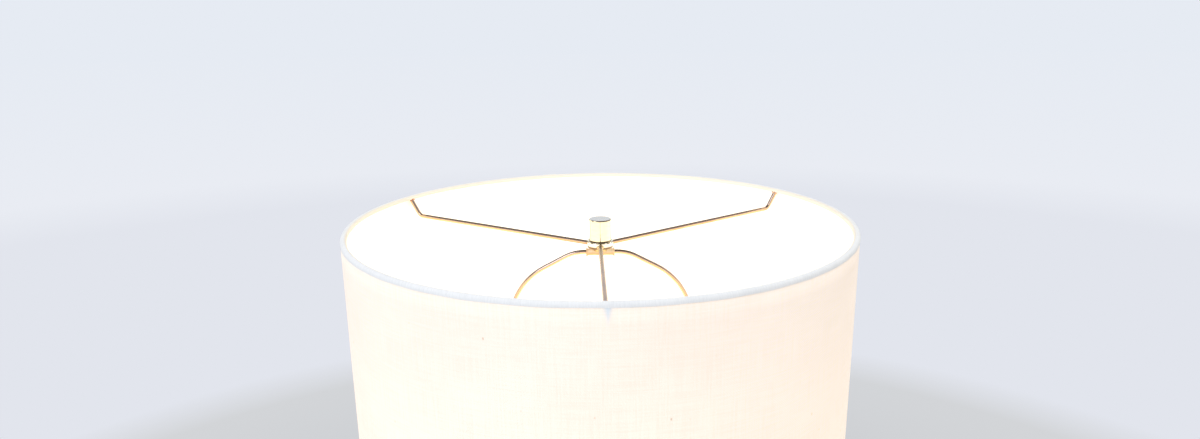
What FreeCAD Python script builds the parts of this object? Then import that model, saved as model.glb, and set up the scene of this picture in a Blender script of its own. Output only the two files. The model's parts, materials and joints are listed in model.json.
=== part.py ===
import FreeCAD, Part
import math
import os
import re

import Sketcher

# A table lamp on three legs, in millimetres: +Z up, the origin on the floor under the shade's centre,
# and the front along -Y. Every size below is a cell of the document's sheet.

SIZES = {
    "edge_break": 0.4,  # on the edges of turned metal
    "fine_edge": 0.3,
    # drum shade
    "shade_radius": 165.0,  # outside of the rolled trim
    "shade_height": 240.0,
    "fabric_thickness": 0.5,
    "liner_thickness": 0.4,
    "tape_thickness": 0.35,
    "trim_height": 2.5,
    "trim_rounding": 1.0,
    "wall_inset": 1.0,  # from the rim's top to the wall's edge inside the trim
    "ring_wire_radius": 1.0,
    "ring_cover": 0.5,  # trim over the ring wire
    "ring_web": 0.1,  # trim between the ring wire and the wall
    "wire_clearance": 0.12,
    # spider that carries the shade
    "spider_recess": 15.9,  # from the rim's top to the top of the spider's hub
    "spider_hub_radius": 8.75,
    "spider_hub_thickness": 4.5,
    "spider_bore_radius": 3.6,
    "spider_wire_radius": 1.45,
    "spider_wire_drop": 3.0,  # from the hub's top to the middle of an arm
    "spider_rise": 4.2,  # of an arm, from the hub to its bend
    "spider_bend": 5.0,
    "spider_lean": 7.5,  # inwards, of an arm's end on its way down from the ring
    "spider_stub": 1.0,  # of an arm, upright under the ring
    "spider_stub_bend": 2.5,
    "side_arm_turn": 1.4,  # degrees, of the right and left arms, off even spacing
    # harp
    "harp_height": 198.1,  # from the wire's foot to the middle of its crown
    "harp_foot_spread": 31.5,  # from the lamp's axis to each foot
    "harp_half_width": 62.0,
    "harp_foot_rise": 28.8,
    "harp_waist_rise": 122.7,
    "harp_shoulder_rise": 175.1,
    "harp_crown_half": 17.9,
    "harp_foot_bend": 30.0,
    "harp_side_bend": 150.0,
    "harp_shoulder_bend": 44.0,
    "harp_crown_bend": 28.0,
    "harp_wire_radius": 1.5,
    "harp_seat_gap": 0.3,  # under each foot, and under each sleeve
    "clip_half_length": 9.5,
    "clip_flare_length": 1.1,
    "clip_radius": 2.3,
    "clip_flare_radius": 3.3,
    "clip_rise": 3.6,  # from the middle of the wire to the top of the stud's flange
    "stud_radius": 3.1,
    "stud_flange_radius": 4.6,
    "stud_flange_height": 2.5,
    "stud_rise": 10.0,  # above the spider's hub
    "thread_depth": 0.25,
    "thread_pitch": 0.94,
    "sleeve_length": 12.0,
    "sleeve_wall": 0.7,
    "sleeve_clearance": 0.15,
    # finial
    "finial_radius": 7.4,
    "finial_height": 14.8,
    "finial_edge": 0.4,
    "finial_roof": 3.8,  # solid metal over the insert
    "insert_wall": 1.8,
    "running_clearance": 0.08,
    "turning_gap": 0.1,  # between flat faces that turn on each other
    # saddle that holds the harp
    "saddle_width": 12.0,
    "saddle_thickness": 1.5,
    "saddle_toe": 4.0,  # strip beyond each foot
    "saddle_corner": 4.0,
    "saddle_tab_thickness": 1.25,
    "saddle_tab_width": 4.0,
    "saddle_tab_height": 16.0,
    # socket, measured up from its base
    "cap_neck_radius": 8.5,
    "cap_neck_height": 5.0,
    "cap_radius": 17.6,
    "cap_flare_height": 13.0,
    "cap_height": 19.0,
    "cap_wall": 0.6,
    "cap_foot_round": 0.8,
    "cap_cove": 1.5,
    "cap_shoulder_round": 3.0,
    "shell_wall": 0.5,
    "shell_foot": 14.5,
    "shell_mouth": 57.0,
    "shell_lip": 1.2,
    "shell_lip_round": 1.0,
    "insulator_wall": 0.4,
    "interior_foot": 17.0,
    "interior_height": 16.0,
    "interior_fit": 0.2,
    "interior_flat": 11.5,
    "screw_shell_radius": 13.85,
    "screw_shell_wall": 0.5,
    "screw_shell_height": 22.5,
    "screw_shell_bore": 5.0,
    "contact_radius": 3.0,
    "contact_height": 3.0,
    "contact_dome": 1.0,
    "terminal_radius": 3.0,
    "terminal_height": 2.0,
    "set_screw_radius": 1.5,
    "set_screw_height": 2.5,
    # switch, measured out from the socket's axis
    "switch_height": 25.0,
    "switch_shaft_radius": 2.0,
    "switch_shaft_start": 9.0,
    "switch_shaft_end": 25.0,
    "switch_hole_radius": 2.6,
    "switch_bore_gap": 0.5,  # behind the shaft's end
    "knob_start": 21.0,
    "knob_length": 12.0,
    "knob_radius": 6.0,
    "knob_foot_round": 0.6,
    "knob_front_round": 1.5,
    "knob_flute_radius": 1.3,
    "knob_flutes": 12,
    # bulb, measured up from its tip
    "bulb_gap": 0.3,
    "bulb_tip_radius": 3.4,
    "bulb_tip_height": 1.5,
    "bulb_tip_round": 1.0,
    "bulb_insulator_foot_radius": 4.4,
    "bulb_insulator_radius": 10.8,
    "bulb_insulator_top": 6.5,
    "bulb_cap_radius": 13.1,
    "bulb_cap_top": 25.0,
    "bulb_cap_bore": 12.0,
    "bulb_cap_lip": 0.8,  # turned in round the insulator
    "bulb_thread_start": 7.5,
    "bulb_thread_depth": 0.6,
    "bulb_thread_round": 1.0,
    "bulb_thread_pitch": 3.63,
    "globe_foot": 20.0,
    "globe_neck_radius": 14.0,
    "globe_neck_top": 29.0,
    "globe_dome": 41.0,  # from the shoulder to the top
    "globe_radius": 30.0,
    "globe_height": 107.0,
    "glass_wall": 0.6,
    "glass_fit": 0.1,
    "glass_foot_round": 1.0,
    "glass_neck_round": 4.0,
    "globe_side_round": 28.0,
    "globe_flat": 1.0,  # round the middle of the top
    "stem_height": 60.0,
    "stem_flare": 1.5,  # thickness of the stem's flared foot
    "stem_fit": 0.1,
    "stem_waist_height": 12.0,  # above the foot
    "stem_waist_radius": 3.5,
    "stem_pinch_radius": 3.0,
    "stem_pinch_height": 8.0,
    "stem_end_radius": 1.2,
    "filament_start": 13.0,  # above the stem's foot
    "filament_lead_round": 3.0,
    "filament_corner_round": 2.0,
    "filament_half_width": 10.0,
    "filament_height": 72.0,
    "filament_wire_radius": 0.35,
    # lamp pipe and its stack
    "pipe_radius": 5.15,
    "pipe_bore_radius": 3.4,
    "pipe_tail": 12.0,  # below the hub
    "pipe_head": 6.5,  # inside the socket's cap
    "pipe_fit": 0.1,
    "neck_length": 38.0,
    "neck_radius": 8.0,
    "neck_bore_radius": 5.6,
    "neck_flange_radius": 14.0,
    "neck_flange_height": 3.0,
    "neck_flange_foot_round": 0.8,
    "neck_flange_round": 1.2,
    "neck_foot": 1.5,  # swelling over the flange
    "neck_foot_height": 5.0,
    "neck_foot_round": 2.0,
    "neck_cove_height": 11.0,
    "neck_cove_round": 4.0,
    "neck_head": 2.5,  # swelling under the ring
    "neck_head_height": 5.0,
    "neck_head_lip": 2.0,
    "neck_head_round": 1.0,
    "check_ring_radius": 13.0,
    "check_ring_thickness": 3.0,
    "check_ring_round": 1.2,
    "washer_radius": 12.0,
    "washer_thickness": 1.5,
    "lock_washer_radius": 9.0,
    "lock_washer_thickness": 1.6,
    "nut_corner_radius": 9.2,
    "nut_height": 5.0,
    "bushing_flange_radius": 6.2,
    "bushing_flange": 2.0,
    "bushing_depth": 8.0,
    "bushing_mouth_round": 0.25,
    "bushing_round": 0.8,
    "bushing_bore_radius": 2.9,
    # hub and legs
    "hub_bottom": 302.0,
    "hub_height": 43.0,
    "hub_radius": 43.0,
    "hub_band": 16.0,
    "hub_shoulder_radius": 32.0,
    "hub_shoulder_height": 33.0,
    "hub_foot_round": 2.0,
    "hub_band_round": 6.0,
    "hub_dome_round": 12.0,
    "hub_step": 1.5,  # of the hub's top beyond the neck's flange
    "hub_step_height": 3.0,
    "hub_step_cove": 3.0,
    "hub_step_round": 1.0,
    "foot_radius": 150.0,  # from the lamp's axis to the middle of each foot
    "seat_radius": 20.0,  # from the lamp's axis to the middle of each leg's top
    "leg_socket_depth": 16.0,
    "leg_top_radius": 11.0,
    "leg_foot_radius": 7.0,
    "leg_fit": 0.1,
    "leg_start": 9.0,  # along a leg, from the floor
    "bolt_radius": 3.0,
    "bolt_in_leg": 22.0,
    "bolt_in_hub": 12.0,
    "ferrule_start": 6.0,
    "ferrule_end": 42.0,
    "ferrule_wall": 0.9,
    "ferrule_foot_round": 0.5,
    "pad_inset": 0.2,
    "pad_pin_radius": 2.0,
    "floor_slab": 20.0,  # depth of the block that trims the pads level
}

ARM_ANGLES = {side: 120 * step - 90 for step, side in enumerate(("front", "right", "left"))}
TO_FRONT = 90  # roll that points an upright piece at the front
TO_BACK = -90
UPSIDE_DOWN = 180
BULB_THREADS = 4
STUD_THREADS = 8
TERMINAL_SIDES = {"right": 1, "left": -1}

# Places, as formulas of the sizes.

# up the lamp
LEG_TOP = "(hub_bottom + leg_socket_depth)"
HUB_TOP = "(hub_bottom + hub_height)"
SADDLE_BOTTOM = f"({HUB_TOP} + neck_length + check_ring_thickness)"
SOCKET_BASE = f"({SADDLE_BOTTOM} + saddle_thickness)"
HARP_FOOT = f"({SOCKET_BASE} + harp_seat_gap)"
CROWN = f"({HARP_FOOT} + harp_height)"
SPIDER_BOTTOM = f"({CROWN} + clip_rise + turning_gap)"
SPIDER_TOP = f"({SPIDER_BOTTOM} + spider_hub_thickness)"
SHADE_TOP = f"({SPIDER_TOP} + spider_recess)"
SHADE_BOTTOM = f"({SHADE_TOP} - shade_height)"
FINIAL_BOTTOM = f"({SPIDER_TOP} + turning_gap)"
SCREW_SHELL_FOOT = "(interior_foot + interior_height)"
BULB_BASE = f"({SOCKET_BASE} + {SCREW_SHELL_FOOT} + contact_height + bulb_gap)"

# out from the axis, through the shade's rim
FABRIC_RADIUS = "(shade_radius - tape_thickness)"
FABRIC_INSIDE = f"({FABRIC_RADIUS} - fabric_thickness)"
LINER_INSIDE = f"({FABRIC_INSIDE} - liner_thickness)"
CHANNEL_OUTSIDE = f"({LINER_INSIDE} - ring_web)"
RING_RADIUS = f"({CHANNEL_OUTSIDE} - wire_clearance - ring_wire_radius)"
CHANNEL_INSIDE = f"({RING_RADIUS} - ring_wire_radius - wire_clearance)"
TRIM_INSIDE = f"({CHANNEL_INSIDE} - tape_thickness)"
RING_DROP = "(ring_cover + wire_clearance + ring_wire_radius)"
ARM_END = f"({LINER_INSIDE} - wire_clearance - spider_wire_radius)"

# out from the axis, through the socket
SHELL_RADIUS = "(cap_radius - cap_wall)"
SHELL_INSIDE = f"({SHELL_RADIUS} - shell_wall)"
INSULATOR_INSIDE = f"({SHELL_INSIDE} - insulator_wall)"
INTERIOR_RADIUS = f"({INSULATOR_INSIDE} - interior_fit)"
PIPE_HOLE = "(pipe_radius + pipe_fit)"

# along a leg, from the floor
SPLAY = f"atan((foot_radius - seat_radius) / {LEG_TOP})"
LEG_LENGTH = f"hypot(foot_radius - seat_radius; {LEG_TOP})"

# across a harp foot: the saddle's tab stands inside the wire, and the sleeve goes round both
TAB_OUTSIDE = "(harp_foot_spread - harp_wire_radius - wire_clearance)"
TAB_INSIDE = f"({TAB_OUTSIDE} - saddle_tab_thickness)"
SLEEVE_CENTRE = f"(({TAB_INSIDE} + harp_foot_spread + harp_wire_radius) / 2)"
SLEEVE_BORE = f"(hypot({SLEEVE_CENTRE} - {TAB_INSIDE}; saddle_tab_width / 2) + sleeve_clearance)"

document = FreeCAD.newDocument("tripod_table_lamp")
sheet = document.addObject("Spreadsheet::Sheet", "Sizes")
for row, (alias, size) in enumerate(SIZES.items(), start=1):
    sheet.set(f"A{row}", alias)
    sheet.set(f"B{row}", str(size))
    sheet.setAlias(f"B{row}", alias)
document.recompute()

pieces = {}


# ---------------------------------------------------------------- formulas and sketches


def bound(formula):
    """Point every size that a formula names at its cell of the sheet."""
    return re.sub(r"[a-z_]+", lambda word: f"Sizes.{word[0]}" if word[0] in SIZES else word[0], str(formula))


def value(formula):
    """Work a formula out with the sheet's present sizes."""
    result = sheet.evalExpression(bound(formula))
    return float(getattr(result, "Value", result))


def leg_radius(along):
    """Give the formula of the tapered leg's radius at a distance from the floor."""
    share = f"(({along}) - leg_start) / ({LEG_LENGTH} - leg_start)"
    return f"(leg_foot_radius + (leg_top_radius - leg_foot_radius) * {share})"


def arc_end(corner, neighbour, other, radius):
    """Give the formulas of the point where a corner's arc meets the run to a neighbour."""
    ahead = [f"(({there}) - ({here}))" for here, there in zip(corner, neighbour)]
    aside = [f"(({there}) - ({here}))" for here, there in zip(corner, other)]
    run = f"hypot({ahead[0]}; {ahead[1]})"
    cosine = f"(({ahead[0]} * {aside[0]} + {ahead[1]} * {aside[1]}) / ({run} * hypot({aside[0]}; {aside[1]})))"
    share = f"(({radius}) * sqrt((1 + {cosine}) / (1 - {cosine})) / {run})"
    return [f"(({here}) + {share} * {step})" for here, step in zip(corner, ahead)]


def route_points(corners):
    """List a route's points, where a corner with a radius gives both ends of its arc.

    Each point is (across, up, arc), and arc is (radius, corner) where an arc starts, or None.
    """
    points = []
    for index, (across, up, *rounding) in enumerate(corners):
        if not rounding:
            points.append((across, up, None))
            continue
        corner = (across, up)
        before = corners[index - 1][:2]
        after = corners[(index + 1) % len(corners)][:2]
        points.append((*arc_end(corner, before, after, rounding[0]), (rounding[0], corner)))
        points.append((*arc_end(corner, after, before, rounding[0]), None))
    return points


def arc_through(start, end, radius, corner):
    """Make the arc that rounds a corner, and say whether it turns left."""
    inward = (corner - start).normalize()
    left = inward.x * (end - start).y - inward.y * (end - start).x > 0
    side = FreeCAD.Vector(-inward.y, inward.x, 0) if left else FreeCAD.Vector(inward.y, -inward.x, 0)
    centre = start + side * radius
    first, last = (start, end) if left else (end, start)
    angles = [math.atan2((place - centre).y, (place - centre).x) for place in (first, last)]
    circle = Part.Circle(centre, FreeCAD.Vector(0, 0, 1), radius)
    return Part.ArcOfCircle(circle, *angles), left


def bind(sketch, constraint, formula):
    """Add a dimension to a sketch and bind it to its formula."""
    constraint.Name = f"size_{sketch.ConstraintCount}"
    sketch.addConstraint(constraint)
    sketch.setExpression(f"Constraints.{constraint.Name}", bound(formula))


def place_vertex(sketch, vertex, across, up):
    """Hold a vertex at its place from the sketch's origin."""
    bind(sketch, Sketcher.Constraint("DistanceX", -1, 1, *vertex, value(across)), across)
    bind(sketch, Sketcher.Constraint("DistanceY", -1, 1, *vertex, value(up)), up)


def add_route(sketch, corners, closed=True):
    """Draw a route of lines and rounded corners, fully dimensioned."""
    points = route_points(corners)
    places = [FreeCAD.Vector(value(across), value(up), 0) for across, up, arc in points]
    stretches = []
    for index in range(len(points) if closed else len(points) - 1):
        start = places[index]
        end = places[(index + 1) % len(places)]
        arc = points[index][2]
        if arc is None:
            stretches.append((sketch.addGeometry(Part.LineSegment(start, end)), 1, 2))
            continue
        radius, corner = arc
        corner_place = FreeCAD.Vector(value(corner[0]), value(corner[1]), 0)
        curve, left = arc_through(start, end, value(radius), corner_place)
        geometry = sketch.addGeometry(curve)
        stretches.append((geometry, 1, 2) if left else (geometry, 2, 1))
        bind(sketch, Sketcher.Constraint("Radius", geometry, value(radius)), radius)
    for index in range(len(stretches) if closed else len(stretches) - 1):
        geometry, _, end_vertex = stretches[index]
        following, start_vertex, _ = stretches[(index + 1) % len(stretches)]
        sketch.addConstraint(Sketcher.Constraint("Coincident", geometry, end_vertex, following, start_vertex))
    for (geometry, start_vertex, _), (across, up, _) in zip(stretches, points):
        place_vertex(sketch, (geometry, start_vertex), across, up)
    if not closed:
        geometry, _, end_vertex = stretches[-1]
        place_vertex(sketch, (geometry, end_vertex), *points[-1][:2])


def add_circle(sketch, across, up, radius):
    """Draw a dimensioned circle."""
    centre = FreeCAD.Vector(value(across), value(up), 0)
    geometry = sketch.addGeometry(Part.Circle(centre, FreeCAD.Vector(0, 0, 1), value(radius)))
    place_vertex(sketch, (geometry, 3), across, up)
    bind(sketch, Sketcher.Constraint("Radius", geometry, value(radius)), radius)


def new_body(name):
    """Start a piece that is made from sketches."""
    body = document.addObject("PartDesign::Body", f"{name}_body")
    body.Label = name
    return body


def new_sketch(body, name, role):
    """Start a sketch on one of a body's own origin planes."""
    sketch = body.newObject("Sketcher::SketchObject", name)
    plane = next(feature for feature in body.Origin.OriginFeatures if feature.Role == role)
    sketch.AttachmentSupport = [(plane, "")]
    sketch.MapMode = "FlatFace"
    return sketch


# ---------------------------------------------------------------- ways of making a piece


def turned(name, corners):
    """Turn a closed outline of (radius, height) corners round the upright axis."""
    body = new_body(name)
    outline = new_sketch(body, f"{name}_outline", "XZ_Plane")
    add_route(outline, corners)
    turning = body.newObject("PartDesign::Revolution", f"{name}_turning")
    turning.Profile = outline
    turning.ReferenceAxis = (outline, ["V_Axis"])
    turning.Angle = 360
    body.Tip = turning
    return body


def padded(name, height, corners=None, circles=()):
    """Raise a flat outline, with circles as its outline or its holes."""
    body = new_body(name)
    plan = new_sketch(body, f"{name}_plan", "XY_Plane")
    if corners:
        add_route(plan, corners)
    for circle in circles:
        add_circle(plan, *circle)
    pad = body.newObject("PartDesign::Pad", f"{name}_pad")
    pad.Profile = plan
    pad.setExpression("Length", bound(height))
    body.Tip = pad
    return body


def bent_wire(name, radius, corners):
    """Sweep a round wire along a route that leaves the ground plane upright."""
    body = new_body(name)
    route = new_sketch(body, f"{name}_route", "XZ_Plane")
    add_route(route, corners, closed=False)
    section = new_sketch(body, f"{name}_section", "XY_Plane")
    add_circle(section, corners[0][0], "0", radius)
    sweep = body.newObject("PartDesign::AdditivePipe", f"{name}_sweep")
    sweep.Profile = section
    sweep.Spine = (route, [])
    body.Tip = sweep
    return body


def rod(name, radius, height):
    """Make a plain round rod, which is also the tool that drills a hole."""
    cylinder = document.addObject("Part::Cylinder", name)
    cylinder.setExpression("Radius", bound(radius))
    cylinder.setExpression("Height", bound(height))
    return cylinder


def block(name, length, width, height):
    """Make a plain block."""
    box = document.addObject("Part::Box", name)
    box.setExpression("Length", bound(length))
    box.setExpression("Width", bound(width))
    box.setExpression("Height", bound(height))
    return box


def put(piece, across="0", back="0", up="0", yaw="0", pitch="0", roll="0"):
    """Bind a piece's placement to formulas."""
    place = f"create(<<vector>>; {across}; {back}; {up})"
    turn = f"create(<<rotation>>; {yaw}; {pitch}; {roll})"
    piece.setExpression("Placement", bound(f"create(<<placement>>; {place}; {turn})"))
    return piece


def put_on_leg(piece, angle):
    """Stand a piece on the floor point of a leg, leaning along the leg."""
    across = f"foot_radius * cos({angle})"
    back = f"foot_radius * sin({angle})"
    return put(piece, across, back, yaw=angle, pitch=f"0 - {SPLAY} / 1 deg")


def cut(name, base, *tools):
    """Cut tools out of a piece, one after the other."""
    base.Label = f"{name}_blank"
    for number, tool in enumerate(tools, start=1):
        result = document.addObject("Part::Cut", f"{name}_cut_{number}")
        result.Base = base
        result.Tool = tool
        base = result
    base.Label = name
    return base


def group(name, *members):
    """Put identical fasteners in one node."""
    compound = document.addObject("Part::Compound", f"{name}_group")
    compound.Label = name
    compound.Links = list(members)
    return compound


def keep(piece):
    """List a finished piece under its label."""
    pieces[piece.Label] = piece
    return piece


# ---------------------------------------------------------------- shade


def make_shade():
    """The drum: linen on a stiff liner, a wire ring at each end and a rolled trim over it."""
    wall_top = "(0 - wall_inset)"
    wall_bottom = "(wall_inset - shade_height)"
    walls = {"shade_fabric": (FABRIC_INSIDE, FABRIC_RADIUS), "shade_liner": (LINER_INSIDE, FABRIC_INSIDE)}
    for name, (inside, outside) in walls.items():
        wall = turned(name, [
            (inside, wall_bottom),
            (outside, wall_bottom),
            (outside, wall_top),
            (inside, wall_top),
        ])
        keep(put(wall, up=SHADE_TOP))

    ring_heights = {
        "top_ring": f"({SHADE_TOP} - {RING_DROP})",
        "bottom_ring": f"({SHADE_BOTTOM} + {RING_DROP})",
    }
    for name, height in ring_heights.items():
        ring = document.addObject("Part::Torus", f"{name}_torus")
        ring.Label = name
        ring.setExpression("Radius1", bound(RING_RADIUS))
        ring.setExpression("Radius2", bound("ring_wire_radius"))
        keep(put(ring, up=height))

    tape_edge = "(0 - trim_height)"
    channel_top = "(0 - ring_cover)"
    trim_places = {"top_trim": (SHADE_TOP, 0), "bottom_trim": (SHADE_BOTTOM, UPSIDE_DOWN)}
    for name, (height, roll) in trim_places.items():
        trim = turned(name, [
            ("shade_radius", tape_edge),
            ("shade_radius", "0", "trim_rounding"),
            (TRIM_INSIDE, "0", "trim_rounding"),
            (TRIM_INSIDE, tape_edge),
            (CHANNEL_INSIDE, tape_edge),
            (CHANNEL_INSIDE, channel_top),
            (CHANNEL_OUTSIDE, channel_top),
            (CHANNEL_OUTSIDE, tape_edge),
            (LINER_INSIDE, tape_edge),
            (LINER_INSIDE, wall_top),
            (FABRIC_RADIUS, wall_top),
            (FABRIC_RADIUS, tape_edge),
        ])
        keep(put(trim, up=height, roll=roll))


def make_spider():
    """The hub under the finial, and three wires from it up into the top trim."""
    keep(put(
        turned("spider_hub", [
            ("spider_bore_radius", "0"),
            ("spider_hub_radius", "0", "edge_break"),
            ("spider_hub_radius", "spider_hub_thickness", "edge_break"),
            ("spider_bore_radius", "spider_hub_thickness"),
        ]),
        up=SPIDER_BOTTOM,
    ))
    arm_top = f"({SHADE_TOP} - {RING_DROP} - ring_wire_radius)"
    hub_end = f"({SPIDER_TOP} - spider_wire_drop - {arm_top})"
    for side, angle in ARM_ANGLES.items():
        wire = bent_wire(f"spider_arm_{side}", "spider_wire_radius", [
            (ARM_END, "0"),
            (ARM_END, "(0 - spider_stub)", "spider_stub_bend"),
            (f"({ARM_END} - spider_lean)", f"({hub_end} + spider_rise)", "spider_bend"),
            ("spider_hub_radius / 2", hub_end),
        ])
        put(wire, up=arm_top, yaw=angle if side == "front" else f"{angle} + side_arm_turn")
        clearing = put(rod(f"hub_clearing_{side}", "spider_hub_radius", "spider_recess"), up=SPIDER_BOTTOM)
        keep(cut(f"spider_arm_{side}", wire, clearing))


# ---------------------------------------------------------------- finial


def make_finial():
    """The polished cylinder, and the threaded insert that it turns on."""
    insert_bore = "(stud_radius + running_clearance)"
    insert_radius = f"({insert_bore} + insert_wall)"
    socket = f"({insert_radius} + running_clearance)"
    insert_height = "(finial_height - finial_roof - turning_gap)"
    finial = turned("finial", [
        (socket, "0"),
        ("finial_radius", "0", "finial_edge"),
        ("finial_radius", "finial_height", "finial_edge"),
        ("0", "finial_height"),
        ("0", "finial_height - finial_roof"),
        (socket, "finial_height - finial_roof"),
    ])
    insert = turned("finial_insert", [
        (insert_bore, "0"),
        (insert_radius, "0"),
        (insert_radius, insert_height),
        (insert_bore, insert_height),
    ])
    for piece in (finial, insert):
        keep(put(piece, up=FINIAL_BOTTOM))


# ---------------------------------------------------------------- harp


def harp_route():
    """List the corners of the harp's wire, from one foot over the crown to the other."""
    right_half = [
        ("harp_foot_spread", "0"),
        ("harp_foot_spread", "harp_foot_rise", "harp_foot_bend"),
        ("harp_half_width", "harp_waist_rise", "harp_side_bend"),
        ("harp_half_width", "harp_shoulder_rise", "harp_shoulder_bend"),
        ("harp_crown_half", "harp_height", "harp_crown_bend"),
    ]
    left_half = [(f"(0 - {across})", *rest) for across, *rest in right_half]
    return left_half + right_half[::-1]


def make_harp():
    """One bent wire, the clip crimped on its crown, the threaded stud and the two locking sleeves."""
    keep(put(bent_wire("harp_wire", "harp_wire_radius", harp_route()), up=HARP_FOOT))

    flare_start = "(clip_half_length - clip_flare_length)"
    mouth = "(harp_wire_radius + clip_flare_radius - clip_radius)"
    clip = turned("harp_clip", [
        ("harp_wire_radius", f"(0 - {flare_start})"),
        (mouth, "(0 - clip_half_length)"),
        ("clip_flare_radius", "(0 - clip_half_length)"),
        ("clip_radius", f"(0 - {flare_start})"),
        ("clip_radius", flare_start),
        ("clip_flare_radius", "clip_half_length"),
        (mouth, "clip_half_length"),
        ("harp_wire_radius", flare_start),
    ])
    keep(put(clip, up=CROWN, pitch="90"))

    stud_top = f"({SPIDER_TOP} + stud_rise - {CROWN})"
    flange_bottom = "(clip_rise - stud_flange_height)"
    outline = [("0", flange_bottom), ("stud_flange_radius", flange_bottom), ("stud_flange_radius", "clip_rise")]
    thread_foot = f"({stud_top} - {STUD_THREADS} * thread_pitch)"
    outline.append(("stud_radius", "clip_rise"))
    for turn in range(STUD_THREADS):
        height = f"({thread_foot} + {turn} * thread_pitch)"
        outline.append(("stud_radius", height))
        outline.append(("(stud_radius - thread_depth)", f"({height} + thread_pitch / 2)"))
    outline.append(("stud_radius", stud_top))
    outline.append(("0", stud_top))
    stud = put(turned("harp_stud", outline), up=CROWN)
    saddle_cut = rod("stud_seat", "clip_radius", "2 * stud_flange_radius")
    put(saddle_cut, "0 - stud_flange_radius", up=CROWN, pitch="90")
    keep(cut("harp_stud", stud, saddle_cut))

    for side, sign in {"right": "", "left": "0 - "}.items():
        sleeve = turned(f"harp_sleeve_{side}", [
            (SLEEVE_BORE, "0"),
            (f"({SLEEVE_BORE} + sleeve_wall)", "0", "fine_edge"),
            (f"({SLEEVE_BORE} + sleeve_wall)", "sleeve_length", "fine_edge"),
            (SLEEVE_BORE, "sleeve_length"),
        ])
        keep(put(sleeve, f"{sign}{SLEEVE_CENTRE}", up=HARP_FOOT))


def make_saddle():
    """The strip under the socket, with an upright tab beside each foot of the harp."""
    reach = "(harp_foot_spread + saddle_toe)"
    half = "(saddle_width / 2)"
    strip = padded(
        "harp_saddle",
        "saddle_thickness",
        [
            (f"(0 - {reach})", f"(0 - {half})", "saddle_corner"),
            (reach, f"(0 - {half})", "saddle_corner"),
            (reach, half, "saddle_corner"),
            (f"(0 - {reach})", half, "saddle_corner"),
        ],
        [("0", "0", PIPE_HOLE)],
    )
    tabs = new_sketch(strip, "harp_saddle_tabs", "XY_Plane")
    for inner, outer in ((TAB_INSIDE, TAB_OUTSIDE), (f"(0 - {TAB_INSIDE})", f"(0 - {TAB_OUTSIDE})")):
        add_route(tabs, [
            (inner, "(0 - saddle_tab_width / 2)"),
            (outer, "(0 - saddle_tab_width / 2)"),
            (outer, "(saddle_tab_width / 2)"),
            (inner, "(saddle_tab_width / 2)"),
        ])
    rise = strip.newObject("PartDesign::Pad", "harp_saddle_tab_pad")
    rise.Profile = tabs
    rise.setExpression("Length", bound("saddle_thickness + saddle_tab_height"))
    strip.Tip = rise
    keep(put(strip, up=SADDLE_BOTTOM))


# ---------------------------------------------------------------- socket and switch


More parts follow.
